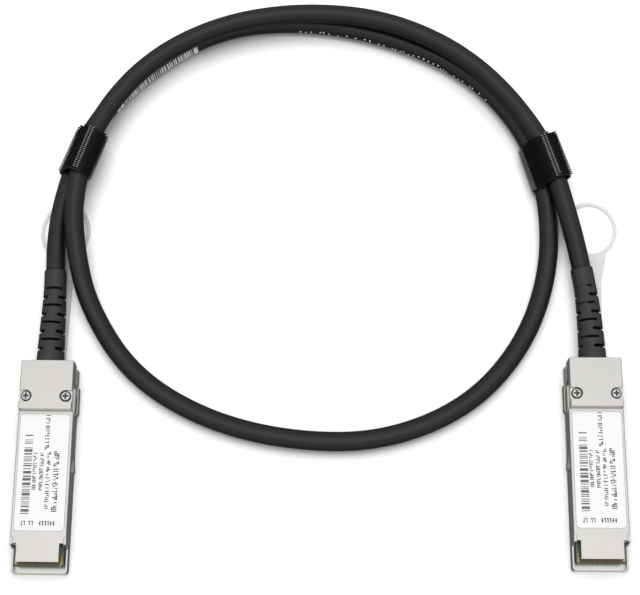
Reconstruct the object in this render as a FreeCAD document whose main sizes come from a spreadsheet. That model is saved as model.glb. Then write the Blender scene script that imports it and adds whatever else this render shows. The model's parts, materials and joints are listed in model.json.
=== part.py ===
"""Direct attach copper cable: two pluggable connector plugs joined by one round
twinaxial cable, which is wound into a single loop and tied with two hook straps.

Frame: +Z up, origin on the table under the middle of the two plugs. Each plug is
modelled once, in its own frame: X from the mating edge back to the cable, Y across,
Z up from the table. Both plugs are placed copies of those pieces.
"""
import FreeCAD
import Part
import Sketcher
import math
import os

from FreeCAD import Vector

doc = FreeCAD.newDocument("DirectAttachCable")

# ---------------------------------------------------------------- driving sizes, mm
SIZES = [
    # plug housing
    ("plug_length", 69.7), ("plug_width", 18.35), ("nose_height", 8.5),
    ("side_wall", 1.5), ("floor_wall", 1.2), ("roof_wall", 1.0),
    ("tongue_start", 3.3), ("tongue_inset", 2.175), ("shoulder", 9.3),
    ("tab_width", 0.85), ("tab_length", 2.35), ("rail_wall", 0.6), ("rail_drop", 0.2),
    ("rail_ramp", 1.2), ("mating_corner", 0.8), ("groove_cover", 0.4),
    ("head_length", 16.45), ("head_slope", 0.5), ("head_inset", 0.4), ("head_cover", 0.7),
    ("split_rise", 0.7), ("split_ramp", 1.5), ("tail_length", 8.9), ("tail_gap", 0.5),
    ("tail_chamfer", 2.6), ("tail_rise", 1.0), ("edge_round", 0.3), ("joint_gap", 0.02),
    ("cavity_setback", 2.2), ("trough_width", 10.0), ("mouth_rise", 2.5),
    ("clamp_length", 4.0), ("clamp_width", 1.2), ("clamp_setback", 7.0),
    # printed circuit board and what is on it
    ("card_front", 1.9), ("card_margin", 0.375), ("neck_margin", 0.175),
    ("card_end", 32.5), ("card_thickness", 1.0), ("card_drop", 4.3), ("card_step", 8.6),
    ("card_chamfer", 0.8),
    ("contact_pitch", 0.8), ("contact_edge", 0.55), ("contact_width", 0.54),
    ("contact_length", 2.7), ("contact_setback", 0.7), ("contact_thickness", 0.05),
    ("chip_size", 3.0), ("chip_height", 0.75), ("chip_position", 18.4),
    ("capacitor_length", 1.0), ("capacitor_size", 0.5), ("capacitor_position", 13.1),
    # twinaxial leads, comb and ferrule
    ("lead_count", 4), ("lead_diameter", 1.4), ("lead_gather", 1.48), ("lead_row", 1.5),
    ("lead_lap", 1.6), ("solder_gap", 0.12), ("lead_end_gap", 0.2),
    ("comb_gap", 1.4), ("comb_length", 3.0), ("comb_margin", 0.375),
    ("comb_side", 1.2), ("comb_height", 4.6), ("ferrule_setback", 11.9),
    ("ferrule_length", 5.5), ("ferrule_wall", 0.7), ("cable_diameter", 6.6),
    ("cable_inset", 0.6),
    # boot
    ("boot_length", 32.4), ("boot_wall", 1.4), ("tip_wall", 0.5), ("boot_collar", 6.4),
    ("boot_slot", 0.9), ("boot_pitch", 5.97), ("boot_offset", 3.15), ("boot_first", 7.45),
    ("boot_bridge", 3.8), ("boot_side_slot", 3.0), ("boot_skin", 0.15),
    ("boot_gap", 0.35), ("neck_wall", 0.6), ("neck_relief", 0.12), ("boot_flange", 2.0),
    ("boot_flange_width", 12.0), ("boot_flange_height", 7.4), ("boot_flange_setback", 3.0),
    # release slide, spring and pull tab
    ("arm_thickness", 0.5), ("arm_height", 3.0), ("arm_bottom", 1.3), ("arm_gap", 0.17),
    ("arm_front", 33.0), ("tip_length", 6.5), ("tip_flat", 1.2), ("tip_reach", 0.57),
    ("groove_depth", 0.8), ("bulge_front", 3.1),
    ("bulge_length", 10.9), ("bulge_ramp", 1.2), ("bulge_reach", 0.83),
    ("groove_margin", 0.3), ("slide_travel", 2.5),
    ("bridge_setback", 6.4), ("bridge_length", 4.4), ("bridge_cover", 0.35),
    ("ear_setback", 14.9), ("ear_reach", 2.15), ("ear_height", 1.7),
    ("spring_diameter", 1.9), ("spring_wire", 0.3), ("spring_turns", 4),
    ("spring_facets", 10), ("spring_inset", 1.975), ("spring_rise", 1.6),
    ("spring_length", 4.7), ("pocket_clearance", 0.3), ("pocket_front", 0.6),
    ("tab_thickness", 1.05), ("tab_lift", 0.2), ("strap_width", 8.0), ("grip_skin", 0.12),
    ("grip_rise", 0.6), ("ring_band", 1.2), ("ring_flare", 9.0), ("grip_margin", 0.5), ("tab_clearance", 0.8),
    # screws and label
    ("screw_setback", 12.1), ("screw_inset", 2.575), ("screw_head", 3.05),
    ("screw_head_height", 1.0), ("screw_diameter", 1.6), ("screw_length", 5.0),
    ("screw_space", 0.425), ("screw_sink", 1.1), ("screw_cross", 0.4),
    ("cross_length", 1.952), ("cross_depth", 0.5), ("screw_hole_extra", 0.5),
    ("label_start", 13.3), ("label_gap", 1.4), ("label_margin", 1.0),
    ("label_corner", 1.2), ("label_thickness", 0.1),
    # hook straps round the two cable runs
    ("strap_length", 16.3), ("strap_wall", 0.5), ("strap_clearance", 0.7),
    ("strap_rows", 12), ("strap_row_depth", 0.25),
    # where the two plugs lie
    ("left_x", -93.36), ("left_y", -64.27), ("left_heading", 89.359), ("left_boot_lean", -0.75),
    ("left_boot_roll", 0.0), ("left_tab_lean", -1.63), ("left_ring_width", 17.2),
    ("left_ring_length", 21.3), ("left_ring_reach", 48.2),
    ("right_x", 90.5), ("right_y", -63.34), ("right_heading", 89.729), ("right_boot_lean", 3.63),
    ("right_boot_roll", 25.0), ("right_tab_lean", -2.2), ("right_ring_width", 19.1),
    ("right_ring_length", 20.0), ("right_ring_reach", 48.1),
    # where the two straps sit: middle, heading and the two cable heights in each
    ("left_strap_x", -84.83), ("left_strap_y", 79.61), ("left_strap_heading", 70.5),
    ("left_strap_offset", 3.42), ("left_strap_low", 4.84), ("left_strap_high", 11.3),
    ("right_strap_x", 76.97), ("right_strap_y", 76.29), ("right_strap_heading", 108.0),
    ("right_strap_offset", 3.89), ("right_strap_low", 4.74), ("right_strap_high", 10.8),
]

# Sizes that follow from the others, so that pieces stay seated when one changes.
FITTED = [
    # across the plug
    ("tongue_width", "plug_width - 2 * tongue_inset"),
    ("head_width", "plug_width - 2 * head_inset"),
    ("label_width", "plug_width - 2 * label_margin"),
    ("card_width", "plug_width - 2 * rail_wall - 2 * card_margin"),
    ("card_neck", "plug_width - 2 * side_wall - 2 * neck_margin"),
    ("contact_count", "floor((card_width - 2 * contact_edge) / contact_pitch)"),
    ("comb_width", "plug_width - 2 * side_wall - 2 * comb_margin"),
    ("lead_pitch", "(comb_width - lead_diameter - 2 * comb_side) / (lead_count - 1)"),
    ("screw_spacing", "plug_width - 2 * screw_inset"),
    ("spring_offset", "plug_width / 2 - spring_inset"),
    # along the plug
    ("head_start", "plug_length - head_length"),
    ("flange_end", "plug_length - tail_length"),
    ("ferrule_start", "plug_length - ferrule_setback"),
    ("cable_start", "ferrule_start + cable_inset"),
    ("screw_position", "plug_length - screw_setback"),
    ("bridge_start", "plug_length - bridge_setback"),
    ("ear_position", "plug_length - ear_setback"),
    ("bulge_start", "ear_position - bulge_front"),
    ("label_length", "head_start - label_gap - label_start"),
    ("lead_start", "card_end - lead_lap"),
    ("comb_start", "card_end + comb_gap"),
    ("left_ring_position", "plug_length + left_ring_reach"),
    ("right_ring_position", "plug_length + right_ring_reach"),
    # up from the table
    ("card_height", "nose_height - card_drop"),
    ("rail_height", "card_height - rail_drop"),
    ("body_split", "arm_bottom + arm_height + groove_margin + groove_cover"),
    ("bridge_height", "tab_lift + bridge_cover"),
    ("tail_lift", "tab_lift + tab_thickness + tail_gap"),
    ("grip_height", "arm_bottom + arm_height + grip_rise"),
    ("spring_height", "arm_bottom + spring_rise"),
    ("boot_diameter", "cable_diameter + 2 * boot_wall"),
    ("cable_axis", "tab_lift + tab_thickness + boot_gap + boot_diameter / 2"),
    ("head_split", "cable_axis + split_rise"),
    ("head_height", "cable_axis + cable_diameter / 2 + ferrule_wall + head_cover"),
    ("lead_top", "cable_axis + lead_row / 2 + lead_diameter / 2 + 2 * joint_gap"),
    # round the cable
    ("boot_tip", "cable_diameter + 2 * tip_wall"),
    ("boot_core", "cable_diameter + 2 * boot_skin"),
    ("boot_neck", "cable_diameter + 2 * neck_wall"),
    ("boot_count", "floor((boot_length - boot_collar - boot_first) / boot_pitch) + 1"),
    ("screw_recess", "screw_head + 2 * screw_space"),
]

# The cable's route from the left plug to the right one: one turn and a half.
ROUTE = [
    (-92.71, -5.87, 6.3), (-92.5, 12.23, 6.3), (-91.97, 30.42, 6.3), (-92.93, 51.67, 5.5),
    (-89.68, 71.24, 4.8), (-81.88, 92.79, 4.9), (-63.56, 113.86, 3.8), (-37.22, 130.15, 3.4),
    (-6.59, 132.89, 3.3), (24.49, 126.92, 3.4), (52.89, 112.67, 3.8), (71.31, 89.5, 4.9),
    (78.33, 64.03, 4.6), (77.86, 37.63, 3.4), (68.08, 11.92, 3.3), (48.76, -9.13, 3.3),
    (20.01, -20.88, 3.3), (-11.13, -20.79, 3.3), (-40.4, -13.45, 3.3), (-65.42, 1.89, 3.3),
    (-80.78, 25.3, 3.6), (-85.49, 44.36, 8.2), (-86.76, 64.26, 11.3), (-80.51, 90.39, 11.3),
    (-62.49, 114.33, 10.7), (-36.63, 128.81, 10.2), (-6.57, 133.67, 10.2),
    (25.41, 129.97, 10.2), (55.01, 113.13, 11), (77.09, 83.75, 11.5), (83.71, 59.78, 9.2),
    (87.84, 43.59, 6.4), (90.9, 21.16, 6.3), (90.78, -4.94, 6.3),
]

sheet = doc.addObject("Spreadsheet::Sheet", "Sizes")
for row, (alias, entry) in enumerate(SIZES + FITTED, start=1):
    sheet.set("A%d" % row, alias)
    sheet.set("B%d" % row, "=" + entry if isinstance(entry, str) else str(entry))
    sheet.setAlias("B%d" % row, alias)
doc.recompute()


def size(alias):
    """The number that the sheet holds under this alias."""
    return float(sheet.get(alias))


# ---------------------------------------------------------------- drawing helpers
def named(text):
    """An expression with every alias of the sheet written as Sizes.alias."""
    words = []
    word = ""
    for letter in text + " ":
        if letter.isalnum() or letter in "_.":
            word += letter
            continue
        if word and not word[0].isdigit():
            word = "Sizes." + word
        words.append(word + letter)
        word = ""
    return "".join(words).strip()


def origin_plane(body, role):
    return [item for item in body.Origin.OriginFeatures if item.Role == role][0]


def outline(body, name, role, corners, offset="0"):
    """A closed sketch whose corners are bound to the sheet, on one origin plane."""
    sketch = body.newObject("Sketcher::SketchObject", name)
    sketch.AttachmentSupport = [(origin_plane(body, role), "")]
    sketch.MapMode = "FlatFace"
    sketch.setExpression("AttachmentOffset.Base.z", named(offset))
    count = len(corners)
    seed = [Vector(math.cos(2 * math.pi * k / count), math.sin(2 * math.pi * k / count), 0)
            for k in range(count)]
    for k in range(count):
        sketch.addGeometry(Part.LineSegment(seed[k], seed[(k + 1) % count]), False)
    sketch.addConstraint([Sketcher.Constraint("Coincident", k, 2, (k + 1) % count, 1)
                          for k in range(count)])
    for k, (across, up) in enumerate(corners):
        for kind, text, start in (("DistanceX", across, seed[k].x),
                                  ("DistanceY", up, seed[k].y)):
            place = sketch.addConstraint(Sketcher.Constraint(kind, -1, 1, k, 1, start))
            sketch.setExpression("Constraints[%d]" % place, named(text))
    return sketch


def pad(body, name, sketch, depth, both_ways=False):
    feature = body.newObject("PartDesign::Pad", name)
    feature.Profile = sketch
    feature.setExpression("Length", named(depth))
    if both_ways:
        feature.SideType = "Symmetric"
    return feature


def new_body(name):
    body = doc.addObject("PartDesign::Body", name)
    body.Label = name
    return body


def box(name, start, extent):
    """A block from its lowest corner and its three sizes, all from the sheet."""
    block = doc.addObject("Part::Box", name)
    for axis, text in zip("xyz", start):
        block.setExpression("Placement.Base." + axis, named(text))
    for prop, text in zip(("Length", "Width", "Height"), extent):
        block.setExpression(prop, named(text))
    return block


def rod(name, start, radius, height, along="z"):
    """A cylinder from the centre of its first end, along z or along x."""
    cylinder = doc.addObject("Part::Cylinder", name)
    for axis, text in zip("xyz", start):
        cylinder.setExpression("Placement.Base." + axis, named(text))
    if along == "x":
        cylinder.Placement.Rotation = FreeCAD.Rotation(Vector(0, 1, 0), 90)
    cylinder.setExpression("Radius", named(radius))
    cylinder.setExpression("Height", named(height))
    return cylinder


def fuse(name, pieces):
    joined = doc.addObject("Part::MultiFuse", name)
    joined.Shapes = pieces
    joined.Refine = True
    return joined


def cut(name, base, tools):
    """The base without its tools."""
    feature = doc.addObject("Part::Cut", name)
    feature.Base = base
    feature.Tool = tools[0] if len(tools) == 1 else fuse(name + "_tools", tools)
    feature.Refine = True
    return feature


def mirrored(name, source):
    """The same piece on the other side of the plug's middle plane."""
    twin = doc.addObject("Part::Mirroring", name)
    twin.Source = source
    twin.Normal = Vector(0, 1, 0)
    return twin


def both_sides(source):
    return [source, mirrored(source.Name + "_mirrored", source)]


def rounded(name, base, radius, picks):
    """Rounds the straight edges of the base for which picks(middle, direction) holds."""
    doc.recompute()
    feature = doc.addObject("Part::Fillet", name)
    feature.Base = base
    chosen = []
    for number, edge in enumerate(base.Shape.Edges, start=1):
        if not isinstance(edge.Curve, Part.Line):
            continue
        middle = edge.valueAt((edge.FirstParameter + edge.LastParameter) / 2)
        if picks(middle, edge.tangentAt(edge.FirstParameter)):
            chosen.append((number, radius, radius))
    feature.Edges = chosen
    return feature


def solid_feature(name, shape):
    feature = doc.addObject("Part::Feature", name)
    feature.Shape = shape
    return feature


# ---------------------------------------------------------------- plug housing
def model_lower_shell():
    """Die-cast tray: rails round the card's edge, grooves for the slide, cable saddle."""
    body = new_body("lower_shell_casting")
    side = outline(body, "lower_shell_side", "XZ_Plane", [
        ("0", "0"), ("flange_end", "0"), ("flange_end", "tail_lift"),
        ("plug_length - tail_chamfer", "tail_lift"), ("plug_length", "tail_lift + tail_rise"),
        ("plug_length", "head_split"), ("head_start", "head_split"),
        ("head_start - split_ramp", "body_split"),
        ("shoulder + tab_length - 0.3", "body_split"),
        ("shoulder + tab_length - 0.3", "nose_height"), ("shoulder - 0.4", "nose_height"),
        ("shoulder - 0.4 - rail_ramp", "rail_height"), ("0", "rail_height")])
    pad(body, "lower_shell_pad", side, "plug_width", both_ways=True)
    casting = rounded("lower_shell_rounded", body, size("mating_corner"),
                      lambda at, way: abs(way.z) > 0.9 and at.x < 0.01)
    inner = "plug_width / 2 - side_wall"
    screw_bottom = "head_height - screw_sink - screw_length - screw_hole_extra"
    cuts = [
        box("front_tray", ("-1", "rail_wall - plug_width / 2", "floor_wall"),
            ("shoulder + 0.6", "plug_width - 2 * rail_wall", "nose_height")),
        box("card_rest_gap", ("shoulder - 0.5", "side_wall - plug_width / 2", "card_height"),
            ("3", "plug_width - 2 * side_wall", "nose_height")),
        box("lower_cavity", ("shoulder + 1.0", "side_wall - plug_width / 2", "floor_wall"),
            ("head_start - cavity_setback - shoulder - 1.0", "2 * (" + inner + ")",
             "nose_height")),
        box("lead_trough", ("head_start - cavity_setback - 0.3", "-trough_width / 2",
                            "tail_lift + 0.65"),
            ("ferrule_start - head_start + cavity_setback + 0.4", "trough_width",
             "nose_height")),
    ]
    cuts += both_sides(box(
        "tab_relief", ("shoulder - 0.5", "tab_width - plug_width / 2", "body_split"),
        ("tab_length + 1", "side_wall - tab_width + 0.01", "nose_height")))
    cuts += both_sides(box(
        "slide_groove", ("arm_front - groove_margin - 1",
                         "-plug_width / 2 - 1", "arm_bottom - groove_margin"),
        ("plug_length", "groove_depth + 1", "arm_height + 2 * groove_margin")))
    cuts += both_sides(box(
        "tail_relief", ("flange_end", "-plug_width / 2 - 1", "0"),
        ("plug_length", "groove_depth + 1", "nose_height")))
    cuts += both_sides(box(
        "spring_pocket", ("ear_position - pocket_front",
                          "-spring_offset - spring_diameter / 2 - pocket_clearance",
                          "spring_height - spring_diameter / 2 - pocket_clearance"),
        ("spring_length + arm_thickness + pocket_front",
         "spring_diameter + 2 * pocket_clearance",
         "spring_diameter + 2 * pocket_clearance")))
    cuts += cable_passage("lower")
    cuts += both_sides(rod(
        "lower_screw_hole", ("screw_position", "-screw_spacing / 2", screw_bottom),
        "screw_diameter / 2", "head_split + 0.1 - (" + screw_bottom + ")"))
    return cut("lower_shell_master", casting, cuts)


def cable_passage(which):
    """Bores along the cable: ferrule seat, neck hole and the slot of the boot's flange."""
    axis = ("0", "cable_axis")
    return [
        rod(which + "_ferrule_seat", ("ferrule_start - 0.1",) + axis,
            "cable_diameter / 2 + ferrule_wall + joint_gap", "ferrule_length + 0.2", "x"),
        rod(which + "_neck_hole", ("ferrule_start + ferrule_length",) + axis,
            "boot_neck / 2 + joint_gap", "plug_length - ferrule_start", "x"),
        box(which + "_flange_slot",
            ("plug_length - boot_flange_setback - boot_flange - joint_gap",
             "-boot_flange_width / 2 - joint_gap",
             "cable_axis - boot_flange_height / 2 - joint_gap"),
            ("boot_flange + 2 * joint_gap", "boot_flange_width + 2 * joint_gap",
             "boot_flange_height + 2 * joint_gap")),
    ]


def model_upper_shell():
    """Die-cast lid: tongue over the contacts, label bed, raised rear head with screws."""
    body = new_body("upper_shell_casting")
    side = outline(body, "upper_shell_side", "XZ_Plane", [
        ("tongue_start", "nose_height - roof_wall"), ("tongue_start", "nose_height"),
        ("head_start - head_slope", "nose_height"), ("head_start", "head_height"),
        ("plug_length", "head_height"), ("plug_length", "head_split + joint_gap"),
        ("head_start", "head_split + joint_gap"),
        ("head_start - split_ramp", "body_split + joint_gap"),
        ("shoulder", "body_split + joint_gap"), ("shoulder", "nose_height - roof_wall")])
    pad(body, "upper_shell_pad", side, "plug_width", both_ways=True)
    tongue_cut = both_sides(box(
        "tongue_side", ("0", "-plug_width", "0"),
        ("shoulder", "plug_width - tongue_width / 2", "2 * nose_height")))
    notch_cut = both_sides(box(
        "tab_notch", ("0", "-plug_width", "0"),
        ("shoulder + tab_length - 0.3 + joint_gap",
         "plug_width / 2 + tab_width + joint_gap", "2 * nose_height")))
    head_cut = both_sides(box(
        "head_side", ("head_start - head_slope - 0.3", "-plug_width",
                      "head_split + joint_gap"),
        ("plug_length", "plug_width - head_width / 2", "head_height")))
    blank = cut("upper_shell_blank", body, tongue_cut + notch_cut + head_cut)
    top = size("nose_height")
    head = size("head_height")
    casting = rounded(
        "upper_shell_rounded", blank, size("edge_round"),
        lambda at, way: (abs(way.x) > 0.9 and abs(at.z - head) < 0.01)
        or (abs(way.x) > 0.9 and abs(at.z - top) < 0.01 and at.x > size("shoulder") + 4)
        or (abs(way.z) > 0.9 and at.z > head - 3 and at.x > size("plug_length") - 0.1))
    cuts = [
        box("upper_cavity", ("shoulder + 1.0", "side_wall - plug_width / 2", "0"),
            ("head_start - cavity_setback - shoulder - 1.0",
             "plug_width - 2 * side_wall", "nose_height - roof_wall")),
        box("card_slot", ("shoulder - 0.1", "-card_neck / 2 - 0.1", "0"),
            ("1.5", "card_neck + 0.2", "card_height + card_thickness + joint_gap")),
        box("upper_trough", ("head_start - cavity_setback - 1.0", "-trough_width / 2", "0"),
            ("ferrule_start - head_start + cavity_setback + 1.1", "trough_width",
             "lead_top")),
        box("ferrule_mouth", ("head_start - 0.3", "-trough_width / 2", "0"),
            ("ferrule_start - head_start + 0.4", "trough_width",
             "cable_axis + mouth_rise")),
    ]
    cuts += cable_passage("upper")
    cuts.append(solid_feature("lead_relief", leads_shape(size("lead_diameter") / 2
                                                         + size("joint_gap"))))
    cuts += both_sides(rod(
        "screw_well", ("screw_position", "-screw_spacing / 2", "head_height - screw_sink"),
        "screw_recess / 2", "2 * screw_sink"))
    cuts += both_sides(box(
        "screw_slot", ("screw_position - screw_recess / 2", "-plug_width",
                       "head_height - screw_sink"),
        ("screw_recess", "plug_width - screw_spacing / 2", "2 * screw_sink")))
    cuts += both_sides(rod(
        "upper_screw_hole", ("screw_position", "-screw_spacing / 2", "0"),
        "screw_diameter / 2 + 0.05", "head_height"))
    lid = cut("upper_shell_lid", casting, cuts)
    pads = both_sides(box(
        "card_clamp", ("card_end - clamp_setback", "side_wall - plug_width / 2 - 0.1",
                       "card_height + card_thickness"),
        ("clamp_length", "clamp_width",
         "nose_height - roof_wall - card_height - card_thickness + 0.1")))
    return fuse("upper_shell_master", [lid] + pads)


def model_label():
    body = new_body("label_sheet")
    sketch = outline(body, "label_outline", "XY_Plane", [
        ("label_start", "-label_width / 2"), ("label_start + label_length", "-label_width / 2"),
        ("label_start + label_length", "label_width / 2"), ("label_start", "label_width / 2")],
        "nose_height")
    pad(body, "label_pad", sketch, "label_thickness")
    return rounded("label_master", body, size("label_corner"),
                   lambda at, way: abs(way.z) > 0.9)


def model_screws():
    """Two M1.6 cross-recess pan head screws through the lid into the tray."""
    seat = "head_height - screw_sink"
    head = rod("screw_head_disc", ("screw_position", "-screw_spacing / 2", seat),
               "screw_head / 2", "screw_head_height")
    shank = rod("screw_shank",
                ("screw_position", "-screw_spacing / 2", seat + " - screw_length"),
                "screw_diameter / 2", "screw_length")
    blank = fuse("screw_blank", [head, shank])
    level = seat + " + screw_head_height - cross_depth"
    cross = [
        box("screw_cross_long", ("screw_position - cross_length / 2",
                                 "-screw_spacing / 2 - screw_cross / 2", level),
            ("cross_length", "screw_cross", "2 * cross_depth")),
        box("screw_cross_wide", ("screw_position - screw_cross / 2",
                                 "-screw_spacing / 2 - cross_length / 2", level),
            ("screw_cross", "cross_length", "2 * cross_depth")),
    ]
    screw = cut("screw", blank, cross)
    pair = doc.addObject("Part::Compound", "screws_master")
    pair.Links = both_sides(screw)
    return pair


# ---------------------------------------------------------------- circuit card
def model_card():
    body = new_body("card_blank")
    wide = "card_width / 2"
    neck = "card_neck / 2"
    sketch = outline(body, "card_outline", "XY_Plane", [
        ("card_front", "-" + wide + " + card_chamfer"),
        ("card_front + card_chamfer", "-" + wide),
        ("card_step", "-" + wide), ("card_step", "-" + neck), ("card_end", "-" + neck),
        ("card_end", neck), ("card_step", neck), ("card_step", wide),
        ("card_front + card_chamfer", wide), ("card_front", wide + " - card_chamfer")],
        "card_height")
    pad(body, "card_pad", sketch, "card_thickness")
    return body


def model_contacts():
    """Gold edge contacts, one row above the card and one below it."""
    fingers = []
    count = int(size("contact_count"))
    thick = size("contact_thickness")
    for level in (size("card_height") + size("card_thickness"), size("card_height") - thick):
        for k in range(count):
            across = (k - (count - 1) / 2) * size("contact_pitch")
            corner = Vector(size("card_front") + size("contact_setback"),
                            across - size("contact_width") / 2, level)
            fingers.append(Part.makeBox(size("contact_length"), size("contact_width"),
                                        thick, corner))
    return solid_feature("card_contacts_master", Part.makeCompound(fingers))


def model_chip():
    return box("memory_chip_master", ("chip_position", "-chip_size / 2",
                                      "card_height + card_thickness"),
               ("chip_size", "chip_size", "chip_height"))


def model_capacitors():
    """Coupling capacitors, one on each twinaxial lane of the card's top and underside."""
    blocks = []
    length = size("capacitor_length")
    side = size("capacitor_size")
    card = size("card_height")
    for level in (card + size("card_thickness"), card - side):
        for k in range(int(size("lead_count"))):
            across = (k - (size("lead_count") - 1) / 2) * size("lead_pitch")
            corner = Vector(size("capacitor_position"), across - side / 2, level)
            blocks.append(Part.makeBox(length, side, side, corner))
    return solid_feature("coupling_capacitors_master", Part.makeCompound(blocks))


# ---------------------------------------------------------------- leads and ferrule
def lead_lines():
    """Start and end of each twinaxial lead, from the card to the cable's mouth."""
    lines = []
    radius = size("lead_diameter") / 2
    card = size("card_height")
    axis = size("cable_axis")
    gap = size("solder_gap")
    rows = ((card + size("card_thickness") + radius + gap, axis + size("lead_row") / 2),
            (card - radius - gap, axis - size("lead_row") / 2))
    for near, far in rows:
        for k in range(int(size("lead_count"))):
            lane = k - (size("lead_count") - 1) / 2
            start = Vector(size("lead_start"), lane * size("lead_pitch"), near)
            end = Vector(size("cable_start") - size("lead_end_gap"),
                         lane * size("lead_gather"), far)
            lines.append((start, end))
    return lines


def leads_shape(radius):
    rods = []
    for start, end in lead_lines():
        rods.append(Part.makeCylinder(radius, (end - start).Length, start, end - start))
    return Part.makeCompound(rods)


def model_leads():
    return solid_feature("twinax_leads_master", leads_shape(size("lead_diameter") / 2))


def model_comb():
    """Moulded comb that holds the eight leads apart behind the card."""
    blank = box("comb_blank", ("comb_start", "-comb_width / 2",
                               "card_height + card_thickness / 2 - comb_height / 2"),
                ("comb_length", "comb_width", "comb_height"))
    side = size("lead_diameter") + 2 * size("joint_gap")
    slots = []
    for start, end in lead_lines():
        slot = Part.makeBox((end - start).Length, side, side, Vector(0, -side / 2, -side / 2))
        slot.Placement = FreeCAD.Placement(start, FreeCAD.Rotation(Vector(1, 0, 0),
                                                                   end - start))
        slots.append(slot)
    bores = solid_feature("comb_slots", Part.makeCompound(slots))
    return cut("lead_comb_master", blank, [bores])


def model_ferrule():
    start = ("ferrule_start", "0", "cable_axis")
    outer = rod("ferrule_outer", start, "cable_diameter / 2 + ferrule_wall",
                "ferrule_length", "x")
    inner = rod("ferrule_inner", start, "cable_diameter / 2 + joint_gap",
                "ferrule_length", "x")
    return cut("crimp_ferrule_master", outer, [inner])


# ---------------------------------------------------------------- release mechanism
def model_slide():
    """Stamped steel slide: two side arms with bent-out tips and with raised covers
    over the springs, joined by a bridge below."""
    arm_inner = "plug_width / 2 - groove_depth + arm_gap"
    arm_outer = arm_inner + " + arm_thickness"
    arm = new_body("slide_arm")
    plan = outline(arm, "slide_arm_plan", "XY_Plane", [
        ("arm_front", arm_inner + " + tip_reach"),
        ("arm_front + tip_flat", arm_inner + " + tip_reach"),
        ("arm_front + tip_length", arm_inner),
        ("bulge_start", arm_inner),
        ("bulge_start + bulge_ramp", arm_inner + " + bulge_reach"),
        ("bulge_start + bulge_length - bulge_ramp", arm_inner + " + bulge_reach"),
        ("bulge_start + bulge_length", arm_inner),
        ("bridge_start + bridge_length", arm_inner),
        ("bridge_start + bridge_length", arm_outer),
        ("bulge_start + bulge_length", arm_outer),
        ("bulge_start + bulge_length - bulge_ramp", arm_outer + " + bulge_reach"),
        ("bulge_start + bulge_ramp", arm_outer + " + bulge_reach"),
        ("bulge_start", arm_outer),
        ("arm_front + tip_length", arm_outer),
        ("arm_front + tip_flat", arm_outer + " + tip_reach"),
        ("arm_front", arm_outer + " + tip_reach")], "arm_bottom")
    pad(arm, "slide_arm_pad", plan, "arm_height")
    leg = box("slide_leg", ("bridge_start", arm_inner, "bridge_height"),
              ("bridge_length", "arm_thickness", "arm_bottom - bridge_height + 0.5"))
    ear = box("slide_ear", ("ear_position", arm_inner + " - ear_reach",
                            "spring_height - ear_height / 2"),
              ("arm_thickness", "ear_reach + bulge_reach + 0.1", "ear_height"))
    bridge = box("slide_bridge", ("bridge_start", "-(" + arm_outer + ")", "bridge_height"),
                 ("bridge_length", "2 * (" + arm_outer + ")", "arm_thickness"))
    return fuse("release_slide_master",
                both_sides(arm) + both_sides(leg) + both_sides(ear) + [bridge])


def model_springs():
    """Two compression springs between the slide's ears and the tray."""
    mean = (size("spring_diameter") - size("spring_wire")) / 2
    wire = size("spring_wire")
    gap = size("joint_gap")
    start = size("ear_position") + size("arm_thickness") + wire / 2 + gap
    length = size("spring_length") - wire - 2 * gap
    steps = int(size("spring_turns") * size("spring_facets"))
    coil_points = []
    for k in range(steps + 1):
        turn = 2 * math.pi * k / size("spring_facets")
        coil_points.append(Vector(mean * math.cos(turn), mean * math.sin(turn),
                                  length * k / steps))
    path = Part.makePolygon(coil_points)
    half = wire / 2
    across = Vector(1, 0, 0)
    ahead = (coil_points[1] - coil_points[0]).normalize()
    up = ahead.cross(across).normalize()
    corners = [coil_points[0] + across * i * half + up * j * half
               for i, j in ((-1, -1), (1, -1), (1, 1), (-1, 1), (-1, -1))]
    coil = Part.Wire(path).makePipeShell([Part.makePolygon(corners)], True, False, 1)
    springs = []
    for side in (-1, 1):
        copy = coil.copy()
        copy.Placement = FreeCAD.Placement(
            Vector(start, side * size("spring_offset"), size("spring_height")),
            FreeCAD.Rotation(Vector(0, 1, 0), 90))
        springs.append(copy)
    return solid_feature("return_springs_master", Part.makeCompound(springs))


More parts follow.
